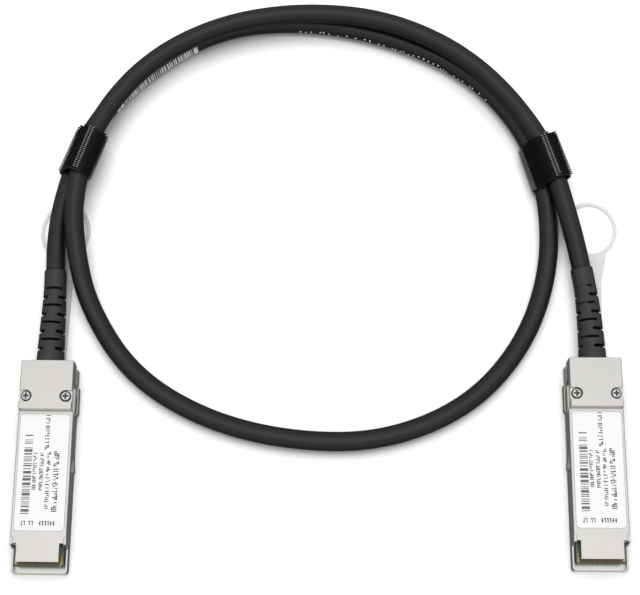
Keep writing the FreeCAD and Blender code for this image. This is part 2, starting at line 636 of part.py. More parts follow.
def model_pull_tab(side, slide):
    """Clear moulded tab: a grip over the slide's bridge, a flat strap that widens at
    its end, and an oval ring."""
    top = size("tab_lift") + size("tab_thickness")
    arm_outer = (size("plug_width") / 2 - size("groove_depth") + size("arm_gap")
                 + size("arm_thickness"))
    arm_inner = arm_outer - size("arm_thickness")
    front = size("bridge_start") - size("grip_margin")
    length = size("bridge_length") + 1.4 * size("grip_margin")
    lift = size("tab_lift")
    reach = arm_outer + size("grip_skin")
    grip = Part.makeBox(length, 2 * reach, size("tab_thickness") + 0.05,
                        Vector(front, -reach, lift))
    cheeks = []
    for side_y in (arm_inner, -reach):
        cheeks.append(Part.makeBox(length, reach - arm_inner, size("grip_height") - lift,
                                   Vector(front, side_y, lift)))
    turn = FreeCAD.Rotation(Vector(0, 0, 1), size(side + "_tab_lean"))
    root = Vector(front + length / 2, 0, 0)
    ring_middle = Vector(size(side + "_ring_position") - root.x, 0, lift)
    radii = (size(side + "_ring_length") / 2, size(side + "_ring_width") / 2)
    half = size("strap_width") / 2
    ring_front = ring_middle.x - radii[0]
    corners = [Vector(0, half, lift), Vector(ring_front - size("ring_flare"), half, lift),
               Vector(ring_middle.x - 0.75 * radii[0], 0.62 * radii[1], lift)]
    corners += [Vector(at.x, -at.y, lift) for at in reversed(corners)]
    strap = Part.Face(Part.makePolygon(corners + corners[:1])).extrude(
        Vector(0, 0, size("tab_thickness")))
    ring = oval(radii[0], radii[1], ring_middle, size("tab_thickness"))
    hole = oval(radii[0] - size("ring_band"), radii[1] - size("ring_band"), ring_middle,
                size("tab_thickness"))
    tail = strap.fuse(ring).cut(hole)
    tail.Placement = FreeCAD.Placement(root, turn)
    clear_box = Part.makeBox(size("slide_travel") + size("tab_clearance"), 2 * arm_outer, top,
                             Vector(front + length, -arm_outer, top))
    shape = grip.fuse(cheeks + [tail]).cut([slide.Shape, clear_box]).removeSplitter()
    return solid_feature(side + "_pull_tab_local", shape)


def oval(long_radius, cross_radius, middle, height):
    """An upright oval plate, whose longer radius may lie along X or along Y."""
    if abs(long_radius - cross_radius) < 1e-6:
        return Part.makeCylinder(long_radius, height, middle)
    curve = Part.Ellipse(middle, max(long_radius, cross_radius),
                         min(long_radius, cross_radius))
    face = Part.Face(Part.Wire(curve.toShape()))
    if cross_radius > long_radius:
        face.rotate(middle, Vector(0, 0, 1), 90)
    return face.extrude(Vector(0, 0, height))


# ---------------------------------------------------------------- boot
def model_boot(side):
    """Ribbed strain relief: a cone and a collar, slotted above, below and beside."""
    length = size("boot_length")
    collar = size("boot_collar")
    rear = size("plug_length")
    axis = size("cable_axis")
    heading = FreeCAD.Rotation(Vector(0, 0, 1), size(side + "_boot_lean"))
    upright = heading.multiply(FreeCAD.Rotation(Vector(0, 1, 0), 90))
    root = 1.0

    def station(distance):
        """Placement of the boot's cross-section this far behind the plug's rear face."""
        step = heading.multVec(Vector(distance, 0, 0))
        return FreeCAD.Placement(Vector(rear, 0, axis) + step, upright)

    def turned(start, end, near, far):
        """A cylinder or cone along the boot's own axis."""
        solid = (Part.makeCylinder(near, end - start) if near == far
                 else Part.makeCone(near, far, end - start))
        solid.Placement = station(start)
        return solid

    base = size("boot_diameter") / 2
    tip = size("boot_tip") / 2
    slope = (base - tip) / (length - collar)
    cone = turned(-root, length - collar, base + slope * root, tip)
    front = Part.makeBox(2 * root, 4 * base, 4 * base,
                         Vector(rear - 2 * root, -2 * base, axis - 2 * base))
    outer = cone.fuse(turned(length - collar, length, tip, tip)).cut(front)
    bore_radius = size("cable_diameter") / 2 + size("joint_gap")
    bore = turned(-root, length + root, bore_radius, bore_radius)

    slots = []
    half_slot = size("boot_slot") / 2
    for k in range(int(size("boot_count"))):
        wide = size("boot_first") + k * size("boot_pitch")
        for distance, lowest, highest in (
                (wide, size("boot_bridge") / 2, 2 * base),
                (wide - size("boot_offset"), 0, size("boot_side_slot") / 2)):
            disc = Part.makeCylinder(2 * base, 2 * half_slot, Vector(0, 0, -half_slot))
            core = Part.makeCylinder(size("boot_core") / 2, 2 * half_slot,
                                     Vector(0, 0, -half_slot))
            window = Part.makeBox(2 * highest, 4 * base, 2, Vector(-highest, -2 * base, -1))
            slot = disc.cut(core).common(window)
            if lowest:
                slot = slot.cut(Part.makeBox(2 * lowest, 4 * base, 2,
                                             Vector(-lowest, -2 * base, -1)))
            roll = FreeCAD.Rotation(Vector(0, 0, 1), -size(side + "_boot_roll"))
            slot.Placement = station(distance).multiply(FreeCAD.Placement(Vector(), roll))
            slots.append(slot)

    flange_start = rear - size("boot_flange_setback") - size("boot_flange")
    neck_length = rear - flange_start
    neck = Part.makeCylinder(size("boot_neck") / 2, neck_length,
                             Vector(flange_start, 0, axis), Vector(1, 0, 0))
    flange = Part.makeBox(size("boot_flange"), size("boot_flange_width"),
                          size("boot_flange_height"),
                          Vector(flange_start, -size("boot_flange_width") / 2,
                                 axis - size("boot_flange_height") / 2))
    neck_bore = Part.makeCylinder(bore_radius + size("neck_relief"),
                                  neck_length + 1.5 * root,
                                  Vector(flange_start - root, 0, axis), Vector(1, 0, 0))
    shape = outer.fuse([neck, flange]).cut([bore, neck_bore] + slots)
    return solid_feature(side + "_boot_local", shape)


# ---------------------------------------------------------------- cable and straps
def model_cable():
    """Straight runs joined by tangent arcs, each as large as its two runs allow."""
    points = [Vector(*point) for point in ROUTE]
    edges = []
    radii = []
    last = points[0]
    for before, corner, after in zip(points, points[1:], points[2:]):
        back = (before - corner)
        ahead = (after - corner)
        turn = math.pi - back.getAngle(ahead)
        reach = 0.45 * min(back.Length, ahead.Length)
        radii.append(reach / math.tan(turn / 2))
        entry = corner + back.normalize() * reach
        leave = corner + ahead.normalize() * reach
        halfway = (entry + leave) * 0.5 - corner
        middle = corner + halfway.normalize() * (
            radii[-1] / math.cos(turn / 2) - radii[-1])
        edges.append(Part.LineSegment(last, entry).toShape())
        edges.append(Part.Arc(entry, middle, leave).toShape())
        last = leave
    edges.append(Part.LineSegment(last, points[-1]).toShape())
    path = Part.Wire(edges)
    radius = size("cable_diameter") / 2
    start = Part.Wire(Part.makeCircle(radius, points[0], points[1] - points[0]))
    tube = path.makePipeShell([start], True, True)
    expected = math.pi * radius ** 2 * path.Length
    print("cable length %.1f mm, volume ratio %.4f" % (path.Length, tube.Volume / expected))
    print("cable radii", " ".join("%.0f" % value for value in radii))
    return solid_feature("cable", tube)


def model_hook_strap(side):
    """Band of hook tape wrapped round both cable runs, with its end lapped over."""
    length = size("strap_length")
    offset = size(side + "_strap_offset")
    low = size(side + "_strap_low")
    high = size(side + "_strap_high")
    bore = size("cable_diameter") / 2 + size("strap_clearance")
    wall = size("strap_wall")
    centres = (Vector(0, offset / 2, low), Vector(0, -offset / 2, high))

    def flank(radius, start, depth):
        """The block between the two cable runs, as wide as the band is outside."""
        axis = centres[1] - centres[0]
        across = Vector(1, 0, 0).cross(axis).normalize() * radius
        shift = Vector(start, 0, 0)
        corners = [centres[0] + across, centres[1] + across, centres[1] - across,
                   centres[0] - across, centres[0] + across]
        face = Part.Face(Part.makePolygon([point + shift for point in corners]))
        return face.extrude(Vector(depth, 0, 0))

    def sleeve(radius, start, depth):
        """A prism round both cable runs: two discs and the block between them."""
        discs = [Part.makeCylinder(radius, depth, point + Vector(start, 0, 0),
                                   Vector(1, 0, 0)) for point in centres]
        return flank(radius, start, depth).fuse(discs).removeSplitter()

    band = sleeve(bore + wall, -length / 2, length)
    rows = int(size("strap_rows"))
    pitch = length / rows
    grooves = []
    for k in range(rows):
        start = -length / 2 + (k + 0.6) * pitch
        slab = flank(bore + 2 * wall, start, 0.4 * pitch)
        grooves.append(slab.cut(flank(bore + wall - size("strap_row_depth"), start - 0.1,
                                      0.4 * pitch + 0.2)))
    shape = band.cut(grooves + [sleeve(bore, -length / 2, length)])
    feature = solid_feature(side + "_hook_strap", shape)
    feature.Placement = FreeCAD.Placement(
        Vector(size(side + "_strap_x"), size(side + "_strap_y"), 0),
        FreeCAD.Rotation(Vector(0, 0, 1), size(side + "_strap_heading")))
    return feature


# ---------------------------------------------------------------- assembly
def place_on(feature, side):
    """Puts a piece of a plug where that plug lies."""
    feature.setExpression("Placement.Base.x", named(side + "_x"))
    feature.setExpression("Placement.Base.y", named(side + "_y"))
    feature.setExpression("Placement.Rotation.Angle", named(side + "_heading"))


def placed_copy(master, side):
    copy = doc.addObject("Part::Compound", side + "_" + master.Name.replace("_master", ""))
    copy.Links = [master]
    copy.Placement.Rotation = FreeCAD.Rotation(Vector(0, 0, 1), 90)
    place_on(copy, side)
    return copy


slide_master = model_slide()
masters = [model_lower_shell(), model_upper_shell(), model_label(), model_screws(),
           model_card(), model_contacts(), model_chip(), model_capacitors(),
           model_leads(), model_comb(), model_ferrule(), slide_master, model_springs()]
doc.recompute()

nodes = [model_cable()]
for side in ("left", "right"):
    for local in masters:
        nodes.append(placed_copy(local, side))
    for local in (model_boot(side), model_pull_tab(side, slide_master)):
        piece = doc.addObject("Part::Compound", local.Name.replace("_local", ""))
        piece.Links = [local]
        piece.Placement.Rotation = FreeCAD.Rotation(Vector(0, 0, 1), 90)
        place_on(piece, side)
        nodes.append(piece)
    nodes.append(model_hook_strap(side))
doc.recompute()

for item in doc.Objects:
    if "Invalid" in item.State or "Error" in item.State:
        raise RuntimeError("failed object: " + item.Name)
os.makedirs("parts", exist_ok=True)
for node in nodes:
    node.Label = node.Name.replace("card_blank", "paddle_card")
    shape = node.Shape
    if shape.isNull() or not shape.isValid():
        raise RuntimeError("bad shape: " + node.Name)
    if not shape.Solids:
        raise RuntimeError("no solid in " + node.Name)
    shape.exportStep("parts/" + node.Label + ".step")
print(len(nodes), "nodes written")
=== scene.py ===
"""Direct attach copper cable: two slim die-cast plugs with pull-tab releases, joined by one
round black cable that is wound into a loop and tied with two straps of hook tape."""
import json
import math
import random

import bmesh
import bpy
from mathutils import Matrix, Vector


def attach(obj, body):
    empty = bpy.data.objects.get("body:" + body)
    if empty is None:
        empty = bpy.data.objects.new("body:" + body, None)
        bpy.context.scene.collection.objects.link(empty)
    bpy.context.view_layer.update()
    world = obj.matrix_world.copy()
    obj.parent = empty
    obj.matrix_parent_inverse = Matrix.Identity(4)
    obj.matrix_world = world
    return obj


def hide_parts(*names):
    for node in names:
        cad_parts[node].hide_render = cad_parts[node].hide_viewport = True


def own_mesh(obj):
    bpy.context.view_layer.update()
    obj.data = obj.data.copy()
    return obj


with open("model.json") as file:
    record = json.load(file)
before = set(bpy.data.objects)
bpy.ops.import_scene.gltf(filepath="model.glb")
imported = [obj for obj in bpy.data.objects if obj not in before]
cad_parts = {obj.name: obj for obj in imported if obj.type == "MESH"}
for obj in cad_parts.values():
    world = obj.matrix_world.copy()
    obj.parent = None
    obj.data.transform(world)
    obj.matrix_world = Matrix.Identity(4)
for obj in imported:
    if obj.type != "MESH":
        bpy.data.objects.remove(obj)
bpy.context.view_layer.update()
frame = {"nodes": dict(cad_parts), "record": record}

# ---------------------------------------------------------------- cable
# A 26 AWG eight-pair cable in a matt black PVC jacket, extruded round. It leaves the left
# plug, makes one turn and a half on the table and comes back into the right plug. The maker's
# repeated ink marks are reduced to plain ticks that mean nothing.
CABLE_DIAMETER = 0.0066
REAR_FACE = 0.0697                             # from the mating edge to the back of a plug
ROUTE = [
    (-.09271, -.00587, .0063), (-.09250, .01223, .0063), (-.09197, .03042, .0063),
    (-.09293, .05167, .0055), (-.08968, .07124, .0048), (-.08188, .09279, .0049),
    (-.06356, .11386, .0038), (-.03722, .13015, .0034), (-.00659, .13289, .0033),
    (.02449, .12692, .0034), (.05289, .11267, .0038), (.07180, .08950, .0049),
    (.07860, .06403, .0046), (.07786, .03763, .0034), (.06808, .01192, .0033),
    (.04876, -.00913, .0033), (.02001, -.02088, .0033), (-.01113, -.02079, .0033),
    (-.04040, -.01345, .0033), (-.06542, .00189, .0033), (-.08078, .02530, .0036),
    (-.08549, .04436, .0082), (-.08676, .06426, .0113), (-.08051, .09039, .0113),
    (-.06249, .11433, .0107), (-.03663, .12881, .0102), (-.00657, .13367, .0102),
    (.02541, .12997, .0102), (.05501, .11313, .0110), (.07709, .08375, .0115),
    (.08371, .05978, .0092), (.08784, .04359, .0064), (.09090, .02116, .0063),
    (.09078, -.00494, .0063)]


class Value:
    """A node's output in a material. Sums, products and comparisons add Math nodes to it."""

    def __init__(self, finish, socket):
        self.finish, self.socket = finish, socket

    def maths(self, operation, *others):
        step = self.finish.node("Math", {"operation": operation},
                                dict(enumerate((self,) + others)))
        return Value(self.finish, step.outputs[0])

    def __add__(self, other):
        return self.maths("ADD", other)

    def __mul__(self, other):
        return self.maths("MULTIPLY", other)

    def __gt__(self, other):
        return self.maths("GREATER_THAN", other)

    def __abs__(self):
        return self.maths("ABSOLUTE")

    __radd__, __rmul__ = __add__, __mul__


class Finish:
    """A surface finish while it is being mixed: nodes are added one by one."""

    def __init__(self, name, **fixed):
        self.begin(bpy.data.materials.new(name), "BsdfPrincipled", "OutputMaterial", fixed)

    def begin(self, material, shader, output, fixed):
        self.material = material
        material.use_nodes = True
        self.tree = material.node_tree
        self.tree.nodes.clear()
        self.surface = self.node(shader, None, {
            key.replace("_", " "): value for key, value in fixed.items()})
        self.tree.links.new(self.surface.outputs[0], self.node(output).inputs[0])

    def node(self, kind, settings=None, sockets=None):
        made = self.tree.nodes.new("ShaderNode" + kind)
        for key, value in (settings or {}).items():
            if key == "stops":
                stops = made.color_ramp.elements
                while len(stops) < len(value):
                    stops.new(0.5)
                for stop, (place, colour) in zip(stops, value):
                    stop.position, stop.color = place, colour
            else:
                setattr(made, key, value)
        for key, value in (sockets or {}).items():
            if isinstance(value, Value):
                self.tree.links.new(value.socket, made.inputs[key])
            else:
                made.inputs[key].default_value = value
        return made

    def value(self, kind, settings=None, sockets=None, output=0):
        return Value(self, self.node(kind, settings, sockets).outputs[output])

    def place(self, scale=(1, 1, 1)):
        """The spot on the part, in metres along its own axes, times a scale."""
        spot = self.value("TexCoord", output="Object")
        return self.value("Mapping", None, {"Vector": spot, "Scale": scale})

    def noise(self, size, scale=(1, 1, 1), detail=3.0):
        """Cloudy values from 0 to 1 whose blotches are about this size, in metres."""
        return self.value("TexNoise", None, {"Vector": self.place(scale),
                                             "Scale": 1 / size, "Detail": detail})

    def blend(self, mask, first, second):
        """A colour between two colours, or two colour outputs."""
        return self.value("Mix", {"data_type": "RGBA"}, {0: mask, 6: first, 7: second},
                          output=2)

    def relief(self, height, depth, strength, normal=None):
        """A bump of this depth, in metres."""
        sockets = {"Height": height, "Distance": depth, "Strength": strength}
        if normal:
            sockets["Normal"] = normal
        return self.value("Bump", None, sockets)

    def set(self, **sockets):
        for key, value in sockets.items():
            self.tree.links.new(value.socket, self.surface.inputs[key.replace("_", " ")])
        return self.material


def tone(red, green, blue):
    """An opaque colour."""
    return (red, green, blue, 1.0)


def show(name, mesh, material, smooth=True):
    """Puts a new piece in the scene, on the body of the cable and the two plugs."""
    piece = bpy.data.objects.new(name, mesh)
    bpy.context.scene.collection.objects.link(piece)
    if material:
        mesh.materials.append(material)
    if smooth and isinstance(mesh, bpy.types.Mesh):
        mesh.shade_smooth()
    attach(piece, "cable_and_plugs")
    return piece


def spline(name, points):
    """An open smooth line with these control points."""
    curve = bpy.data.curves.new(name, "CURVE")
    curve.dimensions = "3D"
    line = curve.splines.new("NURBS")
    line.points.add(len(points) - 1)
    for knot, point in zip(line.points, points):
        knot.co = (*point, 1)
    line.order_u = 3
    line.use_endpoint_u = True
    line.resolution_u = 12
    return curve


jacket = Finish("matt black jacket", Specular_IOR_Level=0.64)
grain = jacket.noise(0.00018)
drift = jacket.noise(0.012, detail=1.0)
jacket.set(
    Base_Color=jacket.blend(drift, tone(.0036, .0034, .0037), tone(.0068, .0064, .0068)),
    Roughness=0.33 + 0.10 * jacket.noise(0.004),
    Normal=jacket.relief(grain, 0.00002, 0.5))

# The line is read once while it has no thickness, for the ink and the boots that follow it.
curve = spline("cable_line", ROUTE)
probe = bpy.data.objects.new("probe", curve)
bpy.context.scene.collection.objects.link(probe)
bpy.context.view_layer.update()
line_mesh = bpy.data.meshes.new_from_object(
    probe.evaluated_get(bpy.context.evaluated_depsgraph_get()))
CENTRELINE = [vertex.co.copy() for vertex in line_mesh.vertices]
bpy.data.objects.remove(probe)
bpy.data.meshes.remove(line_mesh)
curve.bevel_depth = CABLE_DIAMETER / 2
curve.bevel_resolution = 8
curve.use_fill_caps = True
curve.materials.append(jacket.material)
cable = show("cable_jacket", curve, None)
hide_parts("cable")


class Run:
    """A line through points, walked by the distance from its start."""

    def __init__(self, points):
        self.points = points
        self.marks = [0.0]
        for here, there in zip(points, points[1:]):
            self.marks.append(self.marks[-1] + (there - here).length)
        self.length = self.marks[-1]

    def at(self, distance):
        """The point, the way ahead, the level sideways direction and the way up."""
        k = 0
        while k < len(self.marks) - 2 and self.marks[k + 1] < distance:
            k += 1
        share = (distance - self.marks[k]) / (self.marks[k + 1] - self.marks[k])
        point = self.points[k].lerp(self.points[k + 1], share)
        before = self.points[max(k - 1, 0)]
        after = self.points[min(k + 2, len(self.points) - 1)]
        mid = self.points[k + 1] - self.points[k]
        ahead = ((self.points[k] - before).normalized() * (1 - share) / 2
                 + mid.normalized() * 0.5
                 + (after - self.points[k + 1]).normalized() * share / 2).normalized()
        side = Vector((0, 0, 1)).cross(ahead).normalized()
        return point, ahead, side, ahead.cross(side)


run = Run(CENTRELINE)


INK_UNDERSIDE, INK_TOP = .000006, .00003


def tick(net, distance, angle, length, width):
    """A thin curved patch of ink on the jacket, with its middle at this angle from the top."""
    across = max(2, int(width / .0004))
    skins = []
    for lift in (INK_UNDERSIDE, INK_TOP):
        reach = CABLE_DIAMETER / 2 + lift
        turns = [angle + (j / across - 0.5) * width / reach for j in range(across + 1)]
        rows = []
        for i in range(3):
            point, _, side, up = run.at(distance + length * (i / 2 - 0.5))
            rows.append([net.verts.new(point + (side * math.sin(turn) + up * math.cos(turn))
                                       * reach) for turn in turns])
        skins.append(rows)
    for rows in skins:
        for i in range(2):
            for j in range(across):
                net.faces.new([rows[i][j], rows[i][j + 1], rows[i + 1][j + 1], rows[i + 1][j]])
    bottom, top = [rows[0] + [rows[1][-1]] + rows[2][::-1] + [rows[1][0]] for rows in skins]
    for j in range(len(top)):
        n = (j + 1) % len(top)
        net.faces.new([top[j], top[n], bottom[n], bottom[j]])


def mesh_of(name, net):
    """Turns the net into a mesh whose faces all look outward."""
    bmesh.ops.recalc_face_normals(net, faces=net.faces)
    mesh = bpy.data.meshes.new(name)
    net.to_mesh(mesh)
    net.free()
    return mesh


BARS_FROM, BARS_TO, BAR_REACH, END_BAR = .1085, .1476, .0044, .0018
SPECKS_FROM, SPECKS_TO, SPECK_LENGTH, SPECK_WIDTH = .187, .263, .0005, .0007
INNER_FLANK = -1.5                             # an angle from the top of the cable, in radians
ink = Finish("pale jacket ink", Roughness=0.5)
ink.set(Base_Color=ink.blend(ink.noise(0.0006), tone(.70, .70, .71), tone(.88, .88, .89)))
ticks = bmesh.new()
shuffle = random.Random(7)
spot = BARS_FROM
while spot < BARS_TO:                          # pale bars, with broad ones at both ends
    bar = shuffle.choice((.0003, .0004, .0006, .0007))
    if spot < BARS_FROM + .004 or spot > BARS_TO - .003:
        bar = END_BAR
    tick(ticks, spot + bar / 2, INNER_FLANK, bar, BAR_REACH)
    spot += bar + shuffle.choice((.0003, .0004, .0006))
spot = SPECKS_FROM
while spot < SPECKS_TO:                        # and specks where the ink has worn
    tick(ticks, spot, INNER_FLANK + .05 + shuffle.uniform(-.2, .2), SPECK_LENGTH, SPECK_WIDTH)
    spot += shuffle.choice((.0012, .0020, .0034))
marks = show("jacket_ticks", mesh_of("jacket_ticks", ticks), ink.material)


# ---------------------------------------------------------------- die-cast housing
# Each plug's tray and lid are zinc die-castings, barrel finished and plated in satin nickel.
# The castings come from the frame. Their upright walls are painted darker than the flat tops,
# as painted shade, and the edges are softly rounded.
def upward(finish):
    """How far a surface faces up: 1 on a flat top, 0 on a wall and -1 underneath."""
    return finish.value("SeparateXYZ", None, {0: finish.value("TexCoord", output="Normal")}, "Z")


def worn_edge(finish, radius):
    """A normal that is softly rounded over the edges, by this radius in metres."""
    return finish.value("Bevel", {"samples": 6}, {"Radius": radius})


nickel = Finish("satin nickel casting with painted wall shade", Metallic=1.0)
fine = nickel.noise(0.00016)
cloud = nickel.noise(0.009, detail=2.0)
# The mask picks out the flat tops. The walls below it get a darker colour, which is painted shade.
flat = nickel.value("MapRange", {"interpolation_type": "SMOOTHSTEP"},
                    {"Value": upward(nickel), "From Min": 0.35, "From Max": 0.85})
plated = nickel.blend(cloud * 0.6 + fine * 0.4, tone(.735, .715, .69), tone(.80, .78, .755))
nickel.set(
    Base_Color=nickel.blend(flat, tone(.68, .665, .64), plated),
    Roughness=0.22 + 0.12 * fine,
    Normal=nickel.relief(fine, 0.00001, 0.45, worn_edge(nickel, 0.00022)))

PLUGS = {}                                     # where each mating edge lies and which way is back
for side in ("left", "right"):
    nose = next(m for m in frame["record"]["mounts"] if m["name"] == side + "_plug_nose")
    PLUGS[side] = (Vector((nose["pos_m"][0], nose["pos_m"][1], 0)),
                   -Vector(nose["axis"]).normalized())


def on_plug(side, along, across, up):
    """A point of a plug: from its mating edge back, to its left and up from the table."""
    start, back = PLUGS[side]
    return start + back * along + Vector((-back.y, back.x, 0)) * across + Vector((0, 0, up))


def coat(node, material):
    """Gives a piece from the frame its finish."""
    piece = frame["nodes"][node]
    piece.data.materials.clear()
    piece.data.materials.append(material)


for side in PLUGS:
    coat(side + "_lower_shell", nickel.material)
    coat(side + "_upper_shell", nickel.material)


# ---------------------------------------------------------------- circuit card
# A 1 mm glass-epoxy card with dull green solder mask and brown sawn edges, gold edge contacts, a
# small memory chip and ceramic capacitors, cut from a panel and clamped between the castings.
def solid_finish(name, dark, light, rough, blotch=0.002, **fixed):
    """A finish with a little drift in its colour, gloss and relief."""
    finish = Finish(name, **fixed)
    drift = finish.noise(blotch)
    grain = finish.noise(blotch / 8)
    return finish.set(Base_Color=finish.blend(drift, tone(*dark), tone(*light)),
                      Roughness=rough + 0.12 * grain,
                      Normal=finish.relief(grain, 0.00001, 0.5))


mask = Finish("green solder mask", Roughness=0.35)
lanes = mask.value("TexWave", {"bands_direction": "X"},
                   {"Vector": mask.place(), "Scale": 180.0, "Distortion": 0.6}) > 0.55
face = abs(upward(mask)) > 0.5
mask.set(Base_Color=mask.blend(face, tone(.060, .042, .024),
                               mask.blend(lanes, tone(.065, .085, .062),
                                          tone(.105, .125, .090))),
         Normal=mask.relief(lanes, 0.00003, 0.6))
gold = solid_finish("gold plate", (.46, .31, .12), (.66, .49, .22), .24, Metallic=1.0)
# The edge contacts get a darker gold, painted shade from the lid's tongue over them.
shaded_gold = solid_finish("gold contacts painted dark as shade", (.17, .105, .045), (.30, .20, .085), .34,
                           .0008, Metallic=1.0)
CARD_FINISHES = {
    "paddle_card": mask.material, "card_contacts": shaded_gold,
    "memory_chip": solid_finish("black moulded package", (.02, .02, .022), (.03, .03, .033), .4),
    "coupling_capacitors": solid_finish("fired ceramic", (.36, .24, .15), (.48, .34, .22), .35),
    "twinax_leads": solid_finish("lead foil", (.62, .62, .66), (.80, .80, .84), .24, Metallic=.9),
    "lead_comb": solid_finish("moulded nylon", (.03, .03, .033), (.05, .05, .055), .45),
    "crimp_ferrule": solid_finish("tinned brass", (.60, .56, .48), (.72, .68, .60), .25,
                                  Metallic=1.0),
}
for side in PLUGS:
    for node, material in CARD_FINISHES.items():
        coat(side + "_" + node, material)


# The outermost contacts of each card run past the lid's tongue, as broad gold pads.
CARD_TOP, PAD_FROM, PAD_TO, PAD_ACROSS, PAD_HALF = .0052, .0027, .0053, .00742, .0003


def skin(net, loops, finish=0):
    """Faces between loops of vertices, each closed on itself."""
    for outer, inner in zip(loops, loops[1:]):
        for k in range(len(outer)):
            n = (k + 1) % len(outer)
            net.faces.new([outer[k], outer[n], inner[n], inner[k]]).material_index = finish


def plate(net, side, outline, levels):
    """A thin flat plate on a plug, with this outline between two heights."""
    loops = [[net.verts.new(on_plug(side, along, across, up)) for along, across in outline]
             for up in levels]
    net.faces.new(loops[1])
    net.faces.new(loops[0][::-1])
    skin(net, loops)


for side in PLUGS:
    net = bmesh.new()
    for across in (-PAD_ACROSS, PAD_ACROSS):
        plate(net, side, [(PAD_FROM, across - PAD_HALF), (PAD_TO, across - PAD_HALF),
                          (PAD_TO, across + PAD_HALF), (PAD_FROM, across + PAD_HALF)],
              (CARD_TOP + .00001, CARD_TOP + .00006))
    show(side + "_corner_pads", mesh_of(side + "_corner_pads", net), gold,
         smooth=False)


# ---------------------------------------------------------------- label
# A matt white film label on the lid. The maker's words and marks are left off: in their place
# are plain bars and rows of grey dashes that spell nothing.
film = Finish("white label film", Roughness=0.42, Coat_Weight=0.12)
fibre = film.noise(0.0004)
film.set(Base_Color=film.blend(fibre, tone(.70, .705, .715), tone(.77, .775, .785)),
         Normal=film.relief(fibre, 0.000006, 0.4))
dark_ink = solid_finish("dark label ink", (.030, .030, .032), (.065, .065, .07), .55, 0.0006)
pale_ink = solid_finish("grey bar ink", (.085, .085, .09), (.16, .16, .17), .55, 0.0006)
# The line round the label is painted shadow of the film's edge.
shadow_line = solid_finish("painted label edge shadow", (.20, .20, .19), (.34, .33, .32), .5, 0.0006)
LID_TOP, LABEL_TOP = .0085, .0086
LABEL_FROM, LABEL_TO, LABEL_HALF, LABEL_CORNER = .0133, .05185, .008175, .0012
EDGING_FROM, EDGING_TO = .00001, .00011        # how far the painted shadow line stands off the film
INK_LEVELS = LABEL_TOP + .000004, LABEL_TOP + .00002
DARK, GREY = 0, 1                              # the two inks of a printed label
LADDER_FROM, LADDER_TO, LADDER_ACROSS, LADDER_WIDTH = .0187, .0409, .0036, .0027
LOOSE_BARS = ((.0444, .0004), (.0430, .0002), (.0424, .0002), (.0418, .0003))
STROKE_ROWS = ((.0195, .0392, -.0054, .0017), (.0204, .0391, -.0026, .0012),
               (.0264, .0391, -.0003, .0012), (.0267, .0391, .0019, .0012),
               (.0400, .0512, -.0017, .0014))  # from, to, across the plug, and height
FRONT_AT, FRONT_HEIGHT, FRONT_PITCH = .0150, .0015, .0009
FRONT_GROUPS = ((.0046, .0018, .00026), (.0020, .0015, .00026), (-.0050, .0048, .00034))


def ink_box(net, side, along, across, length, width, ink=DARK):
    """A flat field of ink on the label."""
    before = len(net.faces)
    plate(net, side, [(along, across), (along + length, across),
                      (along + length, across + width), (along, across + width)],
          INK_LEVELS)
    net.faces.ensure_lookup_table()
    for field in net.faces[before:]:
        field.material_index = ink


def dashes(net, side, pick, first, last, across, height):
    """A row of small strokes read along the plug, which spell nothing."""
    spot = first
    while spot < last:
        rise, tall = pick.choice(((0, 1), (0, 1), (0, .55), (.45, .55)))
        ink_box(net, side, spot, across + rise * height, pick.choice((.00026, .00034)),
                tall * height)
        if pick.random() < .6:
            ink_box(net, side, spot, across + pick.choice((0, .42, .84)) * height,
                    .00062, .20 * height)
        spot += pick.choice((.0005, .0006, .0007, .0011))


def label_rim(grow):
    """The label's outline with its rounded corners, this much larger on each side."""
    radius = LABEL_CORNER + grow
    rim = []
    for along, across, start in ((LABEL_TO, LABEL_HALF, 0), (LABEL_FROM, LABEL_HALF, 1),
                                 (LABEL_FROM, -LABEL_HALF, 2), (LABEL_TO, -LABEL_HALF, 3)):
        inner = (along - math.copysign(LABEL_CORNER, along - .03),
                 across - math.copysign(LABEL_CORNER, across))
        for k in range(7):
            turn = (start + k / 6) * math.pi / 2
            rim.append((inner[0] + radius * math.cos(turn), inner[1] + radius * math.sin(turn)))
    return rim


for side in PLUGS:
    coat(side + "_label", film.material)
    net = bmesh.new()
    pick = random.Random(21)
    for spot, bar in LOOSE_BARS:
        ink_box(net, side, spot, LADDER_ACROSS, bar, LADDER_WIDTH, GREY)
    spot = LADDER_FROM
    while spot < LADDER_TO:                    # a ladder of plain bars
        bar = pick.choice((.0003, .0003, .0005, .0009))
        ink_box(net, side, spot, LADDER_ACROSS, bar, LADDER_WIDTH, GREY)
        spot += bar + pick.choice((.0003, .0004, .0006))
    for first, last, across, height in STROKE_ROWS:
        dashes(net, side, pick, first, last, across, height)
    for across, wide, stroke in FRONT_GROUPS:  # three groups of short strokes at the front
        spot = across
        while spot < across + wide:
            ink_box(net, side, FRONT_AT, spot, FRONT_HEIGHT, stroke)
            ink_box(net, side, FRONT_AT + pick.choice((0, .0006, .0012)), spot, .0003, .0006)
            spot += FRONT_PITCH
    printed = show(side + "_label_print", mesh_of(side + "_label_print", net), dark_ink,
                   smooth=False)
    printed.data.materials.append(pale_ink)
    # A thin dark line round the label, which is painted shadow of the film's edge.
    net = bmesh.new()
    walls = [[net.verts.new(on_plug(side, along, across, up)) for along, across in label_rim(grow)]
             for grow, up in ((EDGING_FROM, LID_TOP), (EDGING_TO, LID_TOP),
                              (EDGING_TO, LID_TOP + .00004), (EDGING_FROM, LID_TOP + .00006))]
    skin(net, walls + walls[:1])
    show(side + "_label_edging", mesh_of(side + "_label_edging", net), shadow_line,
         smooth=False)
